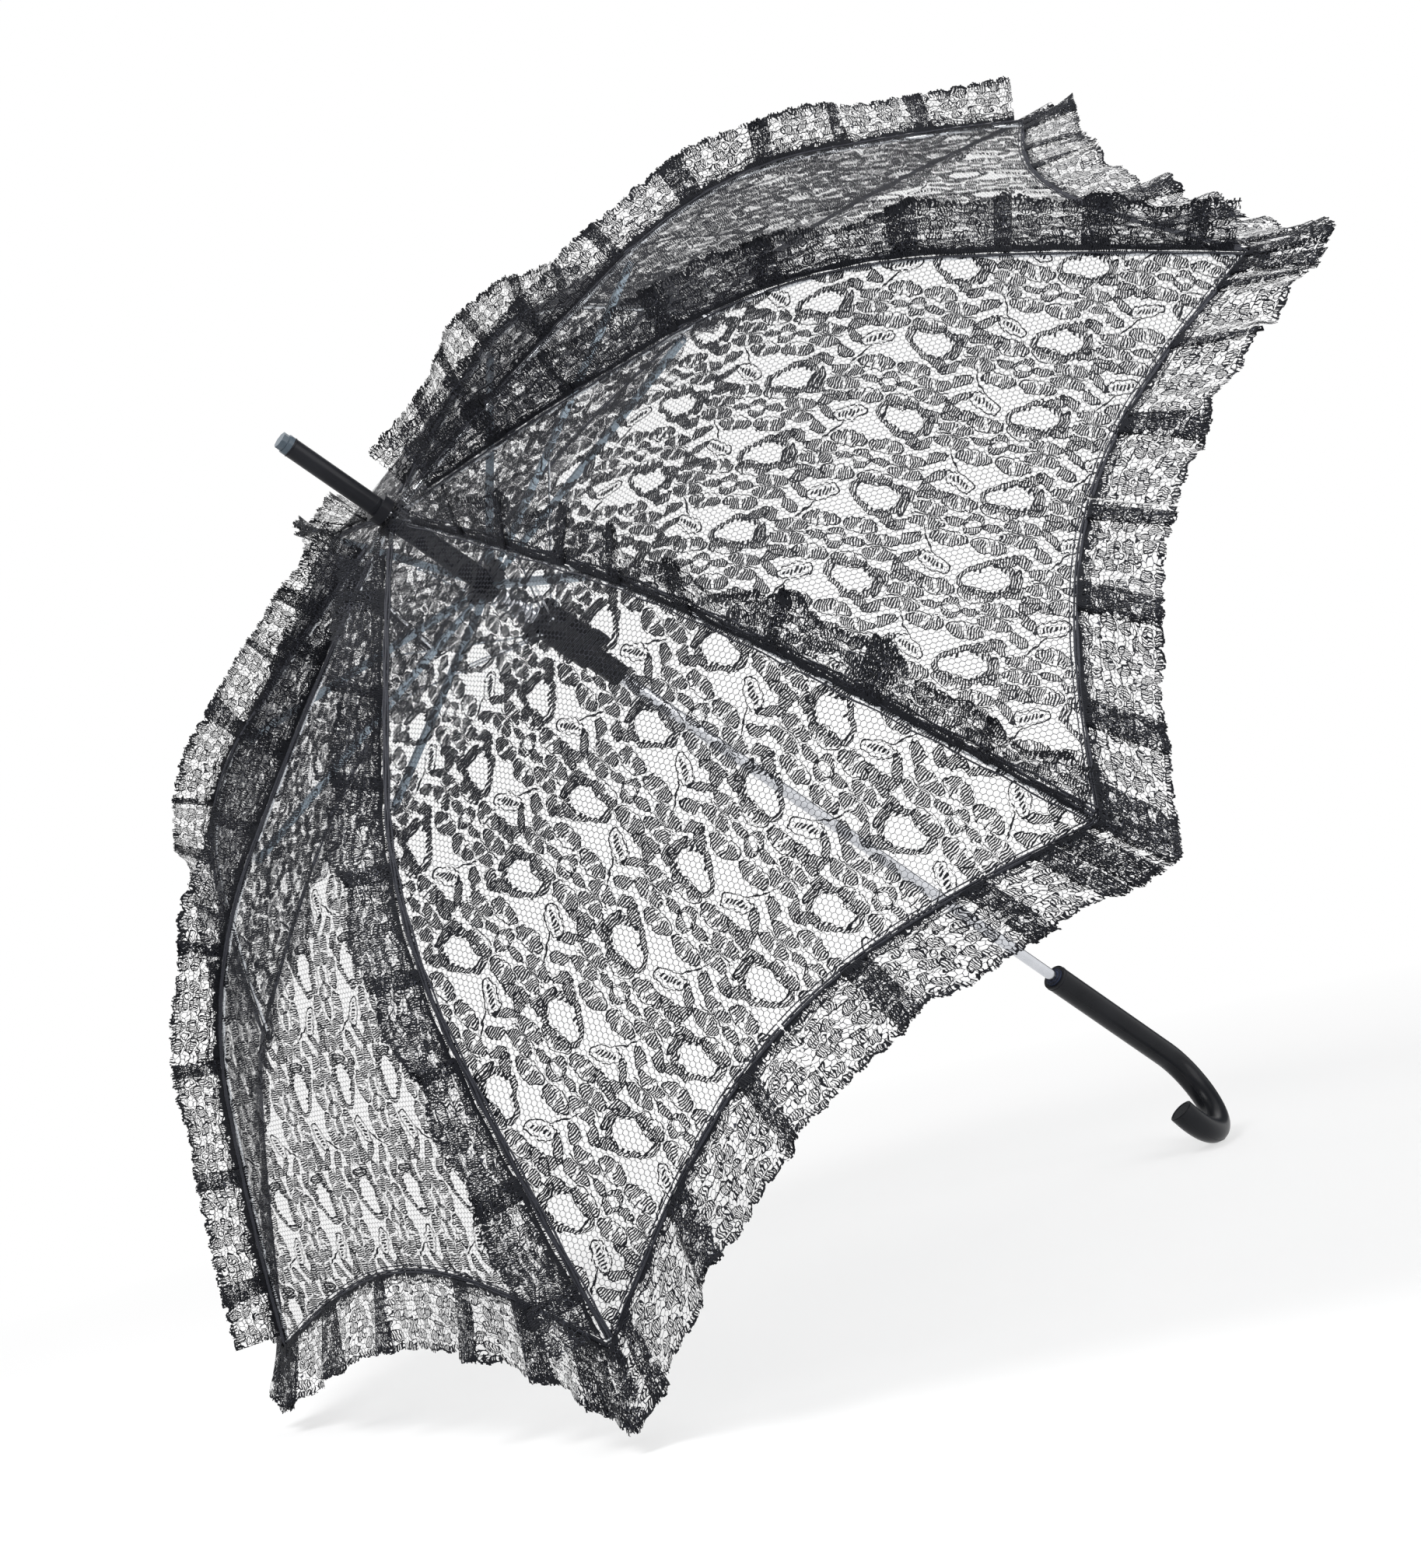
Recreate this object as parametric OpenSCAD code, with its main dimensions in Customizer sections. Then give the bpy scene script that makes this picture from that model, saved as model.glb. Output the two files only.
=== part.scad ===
// Hook-handled stick parasol with an eight-rib folding frame and a lace canopy.
// Millimetres. The stick runs along +Z. The origin is on its axis, at the middle of the grip.

/* [Canopy] */
// Radius from the stick's axis to a rib tip
canopy_r = 470; // [420:5:520]
// Height of the rib tips above the grip
tip_z = 413; // [400:1:430]
// Height of the rib pivots in the crown
crown_z = 642; // [625:1:655]
// Slope of a rib where it leaves the crown, in degrees below level
slope_crown = 7.4; // [6:0.1:9]
// Slope of a rib halfway out, where its bend ends
slope_bend = 43; // [41:1:45]
// Slope of a rib at its tip
slope_tip = 48; // [46:1:52]
// Diameter of a rib wire
rib_d = 2.6; // [2.2:0.1:3]
// Depth of the scallop in the hem between two ribs, as a share of the outer bow
scallop = 0.25; // [0.1:0.05:0.3]
// Inward pull of the lace at mid-gore
gore_pull = 0.012; // [0:0.002:0.02]
// Height of the ruffle that stands along each rib
rib_ruffle_h = 30; // [20:1:36]
// Width of the ruffle round the hem
hem_ruffle_w = 46; // [36:1:50]

/* [Frame] */
// Distance of the stretcher hinges from the axis
hinge_r = 215; // [205:1:225]
// Height of the stretcher hinges
hinge_z = 601; // [599:1:603]
// Height of the stretchers' inner pivots
slider_z = 571; // [569:1:573]
// Height of the ties' inner pivots
runner_z = 528; // [524:1:531]
// Distance of the inner pivots from the axis
pivot_r = 14.5; // [14.2:0.1:15]
// Distance along a stretcher from its inner pivot to its tie
tie_reach = 80; // [70:1:90]
// Width of a stretcher channel
channel_w = 4; // [3.8:0.1:4.2]

/* [Stick] */
// Diameter of the stick
stick_d = 8; // [7.6:0.1:8.2]
// Height of the top of the ferrule
ferrule_top = 725; // [715:1:735]
// Length of the ferrule, end cap included
ferrule_l = 70; // [60:1:74]
// Diameter of the ferrule
ferrule_d = 12; // [11.6:0.1:12.4]

/* [Handle] */
// Diameter of the handle
handle_d = 19; // [18:0.5:21]
// Height of the handle's mouth
mouth_z = 50; // [40:1:60]
// Height where the hook's bend starts
bend_z = -72; // [-80:1:-60]
// Radius of the hook's centre line
hook_r = 38.5; // [34:0.5:44]
// Angle that the hook turns through
hook_turn = 203; // [190:1:215]
// Direction that the hook opens to
hook_azimuth = 240; // [225:1:255]

/* [Hidden] */
rib_count = 8;
step = 360 / rib_count;
half = step / 2;
notch_pivot_r = 8;       // ribs turn on a wire ring of this radius
hinge_drop = 5;          // the hinge pin hangs this far under the rib wire
lace_gap = 0.4;          // lace clears the rib wire by this much
lace_t = 0.6;            // thickness of the plain lace solid
seam_gap = 0.3;          // between one rib's lace and the next one's
fit_gap = 0.03;          // radial clearance of parts fixed on the stick
run_gap = 0.06;          // radial clearance of pins and sliding sleeves
hub_r = 9.8;             // body radius of the slider's hub and of the runner
flange_r = 16;
flange_t = 5;
slot_floor_r = 10.2;
channel_h = 3.6;
channel_wall = 0.5;
pin_r = 1;
tie_r = 0.7;
tie_side = 3.1;          // a tie runs this far beside its stretcher
tie_pin_r = 0.65;
housing_azimuth = -18.5;  // the button's housing clears the links on both sides
notch_low = crown_z - 4;
notch_high = crown_z + 3;
washer_z = crown_z + 6.4;
cap_l = 7;
ball_over = 0.04;        // the ball that joins two tangent tubes is this much over size
$fn = 48;

FIXED = ["shaft", "ferrule", "ferrule_cap", "crown_washer", "top_notch", "notch_wire",
    "upper_slider", "spring", "runner", "release_button", "handle", "handle_collar"];
SETS = ["rib", "tip", "stretcher", "tie", "panel", "trim"];

// ---- The rib's line: three arcs in the plane of X (outwards) and Y (up), each turning down ----

function turned(s) = [cos(s), -sin(s)];
function outward(s) = [sin(s), cos(s)];
crown_pt = [notch_pivot_r, crown_z];
knee_pt = [hinge_r, hinge_z + hinge_drop];
tip_pt = [canopy_r, tip_z];
// An arc leaves its chord by the same angle at both ends, so the chord fixes the slope at the knee.
slope_knee = 2 * atan2(crown_pt.y - knee_pt.y, knee_pt.x - crown_pt.x) - slope_crown;
bend_dir = turned((slope_knee + slope_bend) / 2);
bow_dir = turned((slope_bend + slope_tip) / 2);
outer_run = tip_pt - knee_pt;
solve = bend_dir.x * bow_dir.y - bow_dir.x * bend_dir.y;
bend_chord = (outer_run.x * bow_dir.y - bow_dir.x * outer_run.y) / solve;
bend_end = knee_pt + bend_chord * bend_dir;
stops = [crown_pt, knee_pt, bend_end, tip_pt];
slopes = [slope_crown, slope_knee, slope_bend, slope_tip];

function arc_r(i) = norm(stops[i + 1] - stops[i]) / (2 * sin((slopes[i + 1] - slopes[i]) / 2));
function arc_centre(i) = stops[i] - arc_r(i) * outward(slopes[i]);
// u runs from 0 at the crown through 1 at the knee and 2 at the end of the bend to 3 at the tip.
function part_of(u) = max(0, min(floor(u), 2));
function slope_at(u) = let (i = part_of(u)) slopes[i] + (u - i) * (slopes[i + 1] - slopes[i]);
function line_pt(u) = arc_centre(part_of(u)) + arc_r(part_of(u)) * outward(slope_at(u));

// ---- Helpers ----

module around(k) {
    rotate([0, 0, (k - 1) * step]) children();
}

// Places children in the rib's plane at p, with their X axis towards q.
module along(p, q) {
    translate([p.x, 0, p.y]) rotate([0, -atan2(q.y - p.y, q.x - p.x), 0]) children();
}

// A pin or bore across the rib's plane.
module across(r, low, high) {
    translate([0, low, 0]) rotate([-90, 0, 0]) cylinder(r = r, h = high - low);
}

// A closed solid between two grids of points, the first one outside.
module between(outer, inner) {
    rows = len(outer);
    cols = len(outer[0]);
    n = rows * cols;
    function at(i, j) = i * cols + j;
    pts = concat([for (row = outer) each row], [for (row = inner) each row]);
    top = [for (i = [0:rows - 2], j = [0:cols - 2]) each [
        [at(i, j), at(i, j + 1), at(i + 1, j + 1)], [at(i, j), at(i + 1, j + 1), at(i + 1, j)]]];
    under = [for (f = top) [f[2] + n, f[1] + n, f[0] + n]];
    edge = concat([for (j = [0:cols - 1]) at(0, j)], [for (i = [1:rows - 1]) at(i, cols - 1)],
        [for (j = [cols - 2:-1:0]) at(rows - 1, j)], [for (i = [rows - 2:-1:1]) at(i, 0)]);
    m = len(edge);
    rim = [for (e = [0:m - 1]) let (a = edge[e], b = edge[(e + 1) % m]) each [
        [b, a, a + n], [b, a + n, b + n]]];
    polyhedron(points = pts, faces = concat(top, under, rim), convexity = 6);
}

// ---- The lace's surface ----

// Lifts the lace over the crown's notch, close to the stick.
function lift(x) = 4 * max(0, 1 - x / 26);
function profile(u, off) = let (p = line_pt(u)) p + (off + lift(p.x)) * outward(slope_at(u));
function edge_angle(x) = half - seam_gap / 2 / x * 180 / PI;
// w runs from -1 to 1 across one rib's share of the lace; the cloth is tight between the ribs.
function lace_pt(u, w, off) = let (p = profile(u, off), f = w * edge_angle(p.x),
        pull = 1 - gore_pull * sin(90 * abs(w)) * min(u, 1),
        x = p.x * cos(half) / cos(half - abs(f)) * pull)
    [x * cos(f), x * sin(f), p.y];
function hem_u(w) = hem_stop - scallop * (1 - pow(1 - abs(w), 2));

u_start = -0.007;         // the lace reaches in past the rib pivots, under the washer
hem_stop = 2.955;         // and stops short of the tip caps
lace_steps = [for (i = [0:16]) i / 16];
lace_cross = [for (j = [-5:5]) j / 5];
lace_low = rib_d / 2 + lace_gap;

function lace_grid(off) = [for (t = lace_steps) [for (w = lace_cross)
    lace_pt(u_start + t * (hem_u(w) - u_start), w, off)]];

// The hem's ruffle carries on from the hem and flares a little.
ruffle_slope = 34;
ruffle_gap = 0.6;
ruffle_t = 2;
function ruffle_pt(w, v, off) = let (q = lace_pt(hem_u(w), w, lace_low + off), f = atan2(q.y, q.x),
        d = turned(ruffle_slope), run = ruffle_gap + v * hem_ruffle_w, x = norm([q.x, q.y]) + run * d.x)
    [x * cos(f), x * sin(f), q.z + run * d.y];

// The rib's ruffle stands on the lace.
stand_from = 0.12;
stand_to = 2.9;
function stand_pt(u, v, side) = let (p = profile(u, lace_low + lace_t + ruffle_gap + v * rib_ruffle_h))
    [p.x, side, p.y];

// ---- Stick and crown ----

module shaft() {
    low = -40;
    color("silver") translate([0, 0, low]) difference() {
        cylinder(d = stick_d, h = ferrule_top - 15 - low);
        translate([0, 0, -1]) cylinder(d = stick_d - 1.4, h = ferrule_top - 13 - low);
    }
}

module ferrule() {
    low = ferrule_top - ferrule_l;
    color([0.1, 0.1, 0.11]) difference() {
        translate([0, 0, low]) cylinder(d = ferrule_d, h = ferrule_l - cap_l);
        translate([0, 0, low - 1]) cylinder(d = stick_d + 2 * fit_gap, h = ferrule_l - 15 + 1.5);
    }
}

module ferrule_cap() {
    facets = 8;
    color("slategray") translate([0, 0, ferrule_top - cap_l]) {
        cylinder(d = ferrule_d, h = 3);
        translate([0, 0, 3]) cylinder(d = ferrule_d - 1.4, h = cap_l - 3, $fn = facets);
    }
}

module crown_washer() {
    color([0.12, 0.12, 0.13]) translate([0, 0, washer_z]) difference() {
        cylinder(r = 9, h = ferrule_top - ferrule_l - washer_z);
        translate([0, 0, -1]) cylinder(d = stick_d + 2 * fit_gap, h = 20);
    }
}

module top_notch() {
    slot = 3;
    color([0.14, 0.14, 0.15]) difference() {
        translate([0, 0, notch_low]) cylinder(r = 12, h = notch_high - notch_low);
        translate([0, 0, notch_low - 1]) cylinder(d = stick_d + 2 * fit_gap, h = 20);
        for (k = [1:rib_count]) around(k) translate([5.4, -slot / 2, notch_low - 1]) cube([10, slot, 20]);
        translate([0, 0, crown_z]) rotate_extrude() translate([notch_pivot_r, 0]) circle(r = 0.65);
    }
}

module notch_wire() {
    color("lightgray") translate([0, 0, crown_z]) rotate_extrude() {
        translate([notch_pivot_r, 0]) circle(r = 0.55);
    }
}

// ---- Sliding parts ----

// A slotted flange whose top face is at z = top. Links reach from low to high across each slot.
module flange(top, low, high) {
    difference() {
        translate([0, 0, top - flange_t]) cylinder(r = flange_r, h = flange_t);
        for (k = [1:rib_count]) around(k) {
            translate([slot_floor_r, low, top - flange_t - 1]) cube([20, high - low, flange_t + 2]);
        }
    }
}

module slider_bore(low, high) {
    translate([0, 0, low - 1]) cylinder(d = stick_d + 2 * run_gap, h = high - low + 2);
}

module upper_slider() {
    low = slider_z - 7;
    high = notch_low - 1.5;
    color([0.1, 0.1, 0.11]) difference() {
        union() {
            translate([0, 0, low]) cylinder(r = hub_r, h = 13);
            translate([0, 0, low]) cylinder(d = 14, h = high - low);
            flange(slider_z + flange_t / 2, -1.3, 1.3);
        }
        slider_bore(low, high);
    }
}

spring_low = runner_z + flange_t / 2 + 0.2;
spring_high = slider_z - 7 - 0.2;

module spring() {
    turns = 6;
    per_turn = 18;
    sides = 8;
    wire_r = 0.8;
    coil_r = 8.2;
    n = turns * per_turn;
    rise = (spring_high - spring_low - 2 * wire_r) / n;
    pts = [for (i = [0:n], j = [0:sides - 1]) let (a = i * 360 / per_turn, b = j * 360 / sides,
        r = coil_r + wire_r * cos(b)) [r * cos(a), r * sin(a), spring_low + wire_r * (1 + sin(b)) + i * rise]];
    skin = [for (i = [0:n - 1], j = [0:sides - 1]) let (a = i * sides, b = a + sides, next = (j + 1) % sides)
        each [[a + j, a + next, b + next], [a + j, b + next, b + j]]];
    first = [for (j = [0:sides - 1]) sides - 1 - j];
    last = [for (j = [0:sides - 1]) n * sides + j];
    color("silver") polyhedron(points = pts, faces = concat([first, last], skin), convexity = 10);
}

runner_low = 463;
tail_l = 24;
button_z = runner_z - 38;
button_l = 12;
button_w = 2.8;
housing_w = 4.4;

module runner() {
    top = runner_z + flange_t / 2;
    color([0.1, 0.1, 0.11]) difference() {
        union() {
            flange(top, -1.3, 4.1);
            translate([0, 0, runner_low + tail_l]) cylinder(r = hub_r, h = top - runner_low - tail_l);
            translate([0, 0, runner_low]) cylinder(d = 15, h = tail_l + 1);
            rotate([0, 0, housing_azimuth]) {
                translate([4, -housing_w / 2, runner_low + tail_l]) {
                    cube([10.5, housing_w, top - flange_t - runner_low - tail_l]);
                }
            }
        }
        slider_bore(runner_low, top);
        rotate([0, 0, housing_azimuth]) {
            translate([9, -button_w / 2 - 0.2, button_z - button_l / 2 - 0.2]) {
                cube([10, button_w + 0.4, button_l + 0.4]);
            }
        }
    }
}

module release_button() {
    color([0.2, 0.2, 0.22]) rotate([0, 0, housing_azimuth]) {
        translate([11.5, -button_w / 2, button_z - button_l / 2]) cube([4.5, button_w, button_l]);
        translate([16, -button_w / 2, button_z - 4]) cube([0.6, button_w, 8]);
    }
}

// ---- Handle ----

module handle() {
    r = handle_d / 2;
    color([0.08, 0.08, 0.09]) difference() {
        union() {
            translate([0, 0, bend_z]) cylinder(r = r, h = mouth_z - bend_z);
            translate([0, 0, bend_z]) sphere(r = r + ball_over);
            rotate([0, 0, hook_azimuth]) translate([hook_r, 0, bend_z]) rotate([90, 0, 0]) {
                rotate([0, 0, 180]) rotate_extrude(angle = hook_turn) translate([hook_r, 0]) circle(r = r);
            }
        }
        translate([0, 0, -41]) cylinder(d = stick_d + 2 * fit_gap, h = mouth_z + 42);
        translate([0, 0, mouth_z - 5]) cylinder(d = 14.4, h = 6);
    }
}

module handle_collar() {
    color([0.25, 0.27, 0.33]) translate([0, 0, mouth_z - 4.9]) difference() {
        cylinder(d = 14, h = 6);
        translate([0, 0, -1]) cylinder(d = stick_d + 2 * fit_gap, h = 8);
    }
}

// ---- One rib and what it carries ----

module rib(k) {
    eye_t = 2;
    color("gainsboro") around(k) difference() {
        union() {
            for (i = [0:2]) {
                c = arc_centre(i);
                translate([c.x, 0, c.y]) rotate([90, 0, 0]) rotate([0, 0, 90 - slopes[i + 1]]) {
                    rotate_extrude(angle = slopes[i + 1] - slopes[i]) translate([arc_r(i), 0]) {
                        circle(d = rib_d, $fn = 24);
                    }
                }
            }
            for (p = [knee_pt, bend_end]) translate([p.x, 0, p.y]) sphere(d = rib_d + 2 * ball_over);
            translate([crown_pt.x, 0, crown_pt.y]) across(2, -eye_t / 2, eye_t / 2);
            translate([hinge_r - 2.5, -0.8, hinge_z]) cube([5, 1.6, hinge_drop]);
            translate([hinge_r, 0, hinge_z]) {
                across(2.2, -0.8, 0.8);
                across(pin_r, -channel_w / 2 - 0.3, channel_w / 2 + 0.3);
            }
        }
        translate([crown_pt.x, 0, crown_pt.y]) across(0.85, -2, 2);
    }
}

module tip(k) {
    reach = 6;
    color([0.1, 0.1, 0.1]) around(k) translate([tip_pt.x, 0, tip_pt.y]) rotate([0, 90 + slope_tip, 0]) {
        // Local Z points on down the rib.
        difference() {
            union() {
                translate([0, 0, -reach]) cylinder(r = 1.9, h = reach);
                sphere(r = 2.6);
            }
            translate([0, 0, -reach - 1]) cylinder(d = rib_d + 0.1, h = reach + 1.05);
        }
    }
}

hinge_pt = [hinge_r, hinge_z];
slider_pt = [pivot_r, slider_z];
runner_pt = [pivot_r, runner_z];
stretcher_l = norm(slider_pt - hinge_pt);
tie_pt = slider_pt + tie_reach / stretcher_l * (hinge_pt - slider_pt);
tie_l = norm(runner_pt - tie_pt);

module stretcher(k) {
    w = channel_w;
    h = channel_h;
    inside = w - 2 * channel_wall;
    color("lightsteelblue") around(k) along(hinge_pt, slider_pt) difference() {
        union() {
            difference() {
                translate([-1.6, -w / 2, -h / 2]) cube([stretcher_l - 5, w, h]);
                translate([-3, -inside / 2, -h / 2 + channel_wall]) cube([stretcher_l + 5, inside, h]);
                translate([-3, -inside / 2, -h]) cube([8, inside, 2 * h]);
            }
            translate([stretcher_l - 16, -0.8, -h / 2]) cube([16, 1.6, 2.8]);
            translate([stretcher_l, 0, 0]) across(1.5, -0.8, 0.8);
            translate([stretcher_l - tie_reach, 0, 0]) {
                across(tie_pin_r, inside / 2, tie_side + 1);
                across(1.2, tie_side + 0.8, tie_side + 1.2);
            }
        }
        across(pin_r + run_gap, -w, w);
        translate([stretcher_l, 0, 0]) across(0.6, -2, 2);
    }
}

module tie(k) {
    eye_t = 1.3;
    color("silver") around(k) translate([0, tie_side, 0]) along(tie_pt, runner_pt) difference() {
        union() {
            across(1.8, -eye_t / 2, eye_t / 2);
            rotate([0, 90, 0]) cylinder(r = tie_r, h = tie_l, $fn = 24);
            translate([tie_l, 0, 0]) across(1.5, -eye_t / 2, eye_t / 2);
        }
        across(tie_pin_r + run_gap, -2, 2);
    }
}

module panel(k) {
    color([0.3, 0.32, 0.36, 0.6]) around(k) between(lace_grid(lace_low + lace_t), lace_grid(lace_low));
}

module trim(k) {
    color([0.2, 0.21, 0.24, 0.7]) around(k) {
        hem_cross = [for (j = [-6:6]) j / 6];
        rows = [0, 0.5, 1];
        between([for (v = rows) [for (w = hem_cross) ruffle_pt(w, v, ruffle_t)]],
            [for (v = rows) [for (w = hem_cross) ruffle_pt(w, v, 0)]]);
        stands = [for (i = [0:20]) stand_from + i / 20 * (stand_to - stand_from)];
        between([for (u = stands) [for (v = rows) stand_pt(u, v, -ruffle_t / 2)]],
            [for (u = stands) [for (v = rows) stand_pt(u, v, ruffle_t / 2)]]);
    }
}

shaft();
ferrule();
ferrule_cap();
crown_washer();
top_notch();
notch_wire();
upper_slider();
spring();
runner();
release_button();
handle();
handle_collar();
for (k = [1:rib_count]) {
    rib(k);
    tip(k);
    stretcher(k);
    tie(k);
    panel(k);
    trim(k);
}
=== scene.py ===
"""A lace parasol: lace, ruffles, seams and finishes round its CAD model. Metres, in the model's frame."""

import math
import random

import bpy
from mathutils import Matrix, Vector


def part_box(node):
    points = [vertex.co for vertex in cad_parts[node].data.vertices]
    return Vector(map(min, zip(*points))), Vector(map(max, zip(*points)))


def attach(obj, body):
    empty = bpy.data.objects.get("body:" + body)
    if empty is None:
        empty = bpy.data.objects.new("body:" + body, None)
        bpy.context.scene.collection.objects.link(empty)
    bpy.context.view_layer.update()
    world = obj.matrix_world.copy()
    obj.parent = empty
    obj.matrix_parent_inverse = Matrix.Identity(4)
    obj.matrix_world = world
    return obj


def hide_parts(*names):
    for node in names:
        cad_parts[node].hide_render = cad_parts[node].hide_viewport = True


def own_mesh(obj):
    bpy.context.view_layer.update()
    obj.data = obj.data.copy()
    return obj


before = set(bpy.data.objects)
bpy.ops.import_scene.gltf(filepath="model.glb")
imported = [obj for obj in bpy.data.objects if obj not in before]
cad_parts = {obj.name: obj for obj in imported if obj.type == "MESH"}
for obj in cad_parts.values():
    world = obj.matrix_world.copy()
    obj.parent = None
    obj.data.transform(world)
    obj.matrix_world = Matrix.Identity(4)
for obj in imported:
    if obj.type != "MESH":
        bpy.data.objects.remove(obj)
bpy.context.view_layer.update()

MM = 0.001
RIBS = 8
STEP = math.tau / RIBS
HALF = STEP / 2


def node_box(name):
    low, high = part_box(name)
    return Vector(low), Vector(high)


# ---- Sizes worked out from the frame ----

UP = Vector((0, 0, 1))
NOTCH_WIRE_R = 0.55 * MM
notch_high = node_box("notch_wire")[1]
NOTCH_R = notch_high.x - NOTCH_WIRE_R
CROWN_Z = notch_high.z - NOTCH_WIRE_R
TIP_BALL = 2.6 * MM
tip_low, tip_high = node_box("tip_1")
CANOPY_R = tip_high.x - TIP_BALL
TIP_Z = tip_low.z + TIP_BALL

# The rib's first arc passes into its second over the hinge.
HINGE_R = 215 * MM
KNEE_Z = 606 * MM
FIRST_SLOPE, BEND_SLOPE, TIP_SLOPE = math.radians(7.4), math.radians(43), math.radians(48)

# The links turn on binding rings in the two flanges.
PIVOT_R = 14.5 * MM
SLIDER_PIVOT_Z = node_box("upper_slider")[0].z + 7 * MM
RUNNER_PIVOT_Z = node_box("runner")[1].z - 2.5 * MM

# The lace lies just over the ribs. Its stops are numbers along the rib: 0 crown, 1 hinge, 2 bend, 3 tip.
LACE_OFF = 2.0 * MM
THREAD_DEPTH = 0.5 * MM
LACE_START = -0.007
HEM_STOP = 2.955
SCALLOP = 0.25
GORE_PULL = 0.012
CROWN_LIFT = 4 * MM
CROWN_LIFT_R = 26 * MM
GORE_GAP = 0.15 * MM
HEM_RUFFLE = 44 * MM
RIB_RUFFLE = 29 * MM

# The hook lies in one upright plane. Its centre is level with the lower end of the straight grip.
HANDLE_R = 9.5 * MM
MOUTH_Z = node_box("handle")[1].z
BEND_Z = -72 * MM
HOOK_R = 38.5 * MM
HOOK_TURN = math.radians(203)
HOOK_AZIMUTH = math.radians(240)
HOOK_OUT = Vector((math.cos(HOOK_AZIMUTH), math.sin(HOOK_AZIMUTH), 0))
HOOK_CENTRE = HOOK_R * HOOK_OUT + BEND_Z * UP


def hook_ray(angle):
    """The direction from the hook's centre to its middle line; angle 0 is the end of the grip."""
    return -math.cos(angle) * HOOK_OUT - math.sin(angle) * UP


# ---- The rib's line: three arcs, each turning down ----

def turned(slope):
    return Vector((math.cos(slope), -math.sin(slope)))


def outward(slope):
    return Vector((math.sin(slope), math.cos(slope)))


def rib_line():
    """The ends of the three arcs and the slopes there. The slope doesn't jump from arc to arc."""
    crown = Vector((NOTCH_R, CROWN_Z))
    knee = Vector((HINGE_R, KNEE_Z))
    tip = Vector((CANOPY_R, TIP_Z))
    chord = knee - crown
    knee_slope = 2 * math.atan2(-chord.y, chord.x) - FIRST_SLOPE
    a = turned((knee_slope + BEND_SLOPE) / 2)
    b = turned((BEND_SLOPE + TIP_SLOPE) / 2)
    run = tip - knee
    reach = (run.x * b.y - b.x * run.y) / (a.x * b.y - b.x * a.y)
    return [crown, knee, knee + reach * a, tip], [FIRST_SLOPE, knee_slope, BEND_SLOPE, TIP_SLOPE]


STOPS, SLOPES = rib_line()


def arc_radius(i):
    return (STOPS[i + 1] - STOPS[i]).length / (2 * math.sin((SLOPES[i + 1] - SLOPES[i]) / 2))


ARC_R = [arc_radius(i) for i in range(3)]
ARC_L = [ARC_R[i] * (SLOPES[i + 1] - SLOPES[i]) for i in range(3)]
ARC_C = [STOPS[i] - ARC_R[i] * outward(SLOPES[i]) for i in range(3)]


def arc_of(u):
    return max(0, min(int(math.floor(u)), 2))


def slope_at(u):
    i = arc_of(u)
    return SLOPES[i] + (u - i) * (SLOPES[i + 1] - SLOPES[i])


def line_point(u):
    i = arc_of(u)
    return ARC_C[i] + ARC_R[i] * outward(slope_at(u))


def line_length(u):
    i = arc_of(u)
    return sum(ARC_L[:i]) + (u - i) * ARC_L[i]


def profile(u, off):
    """A point off the rib's line. It is lifted near the crown, over the notch."""
    p = line_point(u)
    lift = CROWN_LIFT * max(0, 1 - p.x / CROWN_LIFT_R)
    return p + (off + lift) * outward(slope_at(u))


def hem_u(w):
    """Where the scalloped hem crosses the line at w."""
    return HEM_STOP - SCALLOP * (1 - (1 - abs(w)) ** 2)


def lace_point(u, w, off=LACE_OFF):
    """A point on one rib's share of the lace, in the rib's own frame: w runs from -1 to 1 across it."""
    p = profile(u, off)
    f = w * (HALF - GORE_GAP / max(p.x, MM))
    pull = 1 - GORE_PULL * math.sin(math.pi / 2 * abs(w)) * max(0, min(u, 1))
    x = p.x * math.cos(HALF) / math.cos(HALF - abs(f)) * pull
    return Vector((x * math.cos(f), x * math.sin(f), p.y))


def azimuth(k):
    return (k - 1) * STEP


def spun(k):
    return Matrix.Rotation(azimuth(k), 4, "Z")


# ---- Mesh helpers ----

def piece(name, points, faces, uvs=None, smooth=True):
    """A mesh object; uvs is a list with a list of corner coordinates for each face."""
    mesh = bpy.data.meshes.new(name)
    mesh.from_pydata([tuple(p) for p in points], [], faces)
    if uvs:
        layer = mesh.uv_layers.new(name="cut")
        flat = [c for face in uvs for corner in face for c in corner]
        layer.data.foreach_set("uv", flat)
    if smooth:
        mesh.shade_smooth()
    mesh.update()
    obj = bpy.data.objects.new(name, mesh)
    bpy.context.scene.collection.objects.link(obj)
    return obj


def grid_faces(rows, cols):
    return [(i * cols + j, i * cols + j + 1, (i + 1) * cols + j + 1, (i + 1) * cols + j)
            for i in range(rows - 1) for j in range(cols - 1)]


def tube(name, path, radius, sides=8, closed=False, wobble=0.0, seed=1):
    """A round tube along a path of points, with capped ends."""
    rng = random.Random(seed)
    points, faces = [], []
    n = len(path)
    side = None
    for i, p in enumerate(path):
        before = path[(i - 1) % n] if closed or i else path[0]
        after = path[(i + 1) % n] if closed or i < n - 1 else path[-1]
        ahead = (after - before).normalized()
        if side is None:
            side = ahead.orthogonal().normalized()
        side = (side - side.dot(ahead) * ahead).normalized()
        up = ahead.cross(side)
        r = radius * (1 + wobble * (rng.random() - 0.5))
        for j in range(sides):
            a = math.tau * j / sides
            points.append(p + r * (math.cos(a) * side + math.sin(a) * up))
    for i in range(n if closed else n - 1):
        a, b = i * sides, ((i + 1) % n) * sides
        faces += [(a + j, a + (j + 1) % sides, b + (j + 1) % sides, b + j) for j in range(sides)]
    if not closed:
        faces.append(tuple(reversed(range(sides))))
        faces.append(tuple(range((n - 1) * sides, n * sides)))
    return piece(name, points, faces)


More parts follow.
